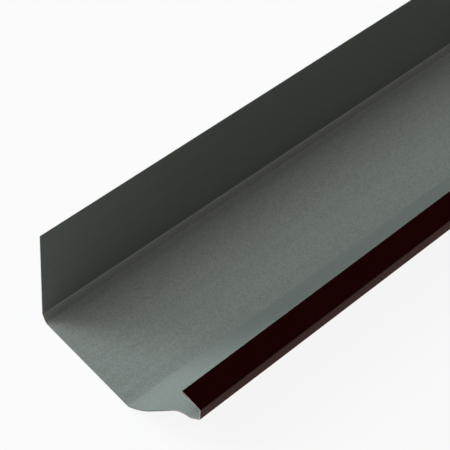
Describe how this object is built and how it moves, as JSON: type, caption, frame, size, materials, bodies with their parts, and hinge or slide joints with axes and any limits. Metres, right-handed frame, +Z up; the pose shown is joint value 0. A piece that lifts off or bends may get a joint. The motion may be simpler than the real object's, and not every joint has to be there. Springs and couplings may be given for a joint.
{
  "type": "gutter section",
  "caption": "Straight length of ogee eaves gutter in coated steel: upright wall side, flat bottom, S-curved front and a rolled front lip with a flange and hem.",
  "frame": {"origin": "on the floor under the flat bottom, at the middle of the length and of the top width", "axes": "+Y along the gutter, +X from the wall side to the front lip, +Z up"},
  "size_m": [0.1269, 3, 0.0775],
  "materials": {
    "coated_steel": "chocolate-brown gloss polyester coat on the outer face, thin dull grey backing coat on the trough face, bare cut edges"
  },
  "bodies": {
    "root": {"gutter_section": "coated_steel"}
  },
  "joints": []
}
